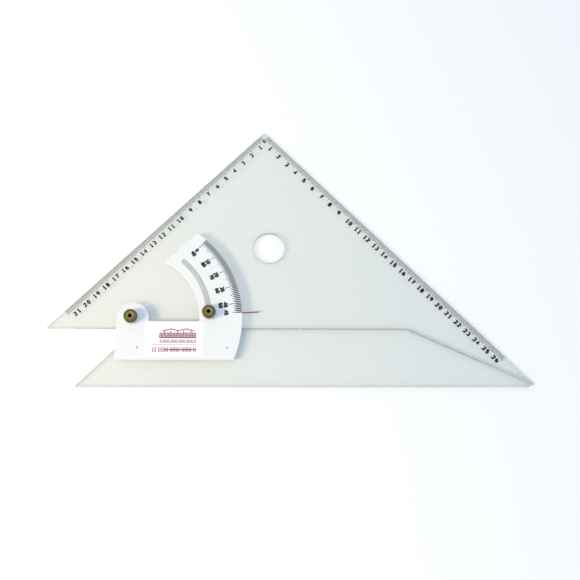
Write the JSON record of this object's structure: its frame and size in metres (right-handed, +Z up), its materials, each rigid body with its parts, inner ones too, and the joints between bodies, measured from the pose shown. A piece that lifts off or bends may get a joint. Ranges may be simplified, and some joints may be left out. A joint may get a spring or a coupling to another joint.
{
  "type": "adjustable set square",
  "caption": "Clear adjustable set square: a graduated right-angled blade turns on a base strip, read on a white protractor plate and clamped by knurled brass thumb nuts.",
  "frame": {"origin": "middle of the set square's outline seen from above, on its flat underside, with the blade closed", "axes": "+X along the base strip's ruling edge towards the sharp right tip, +Y away from the ruling edge towards the right-angled corner, +Z up out of the printed face, which holds the thumb nuts"},
  "size_m": [0.3812, 0.2144, 0.0122],
  "materials": {
    "clear_acrylic": "clear, polished",
    "clear_adhesive": "clear film",
    "white_acrylic": "gloss",
    "pin_steel": "dull",
    "label_film": "satin printed film",
    "screw_steel": "blackened",
    "washer_nylon": "natural nylon",
    "nut_brass": "aged, knurled"
  },
  "bodies": {
    "base": {"base_strip": "clear_acrylic", "bond_film": "clear_adhesive", "protractor_plate": "white_acrylic", "plate_pin_left": "pin_steel", "plate_pin_right": "pin_steel", "label": "label_film"},
    "turning_blade": {"blade": "clear_acrylic", "pivot_screw": "screw_steel", "clamp_screw": "screw_steel"},
    "pivot_washer_ring": {"pivot_washer": "washer_nylon"},
    "clamp_washer_ring": {"clamp_washer": "washer_nylon"},
    "pivot_thumb_nut": {"pivot_nut": "nut_brass"},
    "clamp_thumb_nut": {"clamp_nut": "nut_brass"}
  },
  "joints": [
    {"name": "blade_turn", "type": "hinge", "parent": "base", "child": "turning_blade", "pos_m": [-0.1247, -0.05341, 0], "axis": [0, 0, 1], "range_deg": [0, 45]},
    {"name": "pivot_washer_rise", "type": "slide", "parent": "turning_blade", "child": "pivot_washer_ring", "axis": [0, 0, 1], "range_m": [0, 0.0014]},
    {"name": "pivot_nut_turn", "type": "hinge", "parent": "pivot_washer_ring", "child": "pivot_thumb_nut", "pos_m": [-0.1247, -0.05341, 0.0083], "axis": [0, 0, 1], "range_deg": [0, 720]},
    {"name": "clamp_washer_rise", "type": "slide", "parent": "turning_blade", "child": "clamp_washer_ring", "axis": [0, 0, 1], "range_m": [0, 0.0014]},
    {"name": "clamp_nut_turn", "type": "hinge", "parent": "clamp_washer_ring", "child": "clamp_thumb_nut", "pos_m": [-0.06421, -0.04971, 0.0083], "axis": [0, 0, 1], "range_deg": [0, 720]}
  ],
  "couplings": [
    {"joint": "pivot_nut_turn", "follows": "pivot_washer_rise", "rad_per_m": 8976},
    {"joint": "clamp_nut_turn", "follows": "clamp_washer_rise", "rad_per_m": 8976}
  ]
}
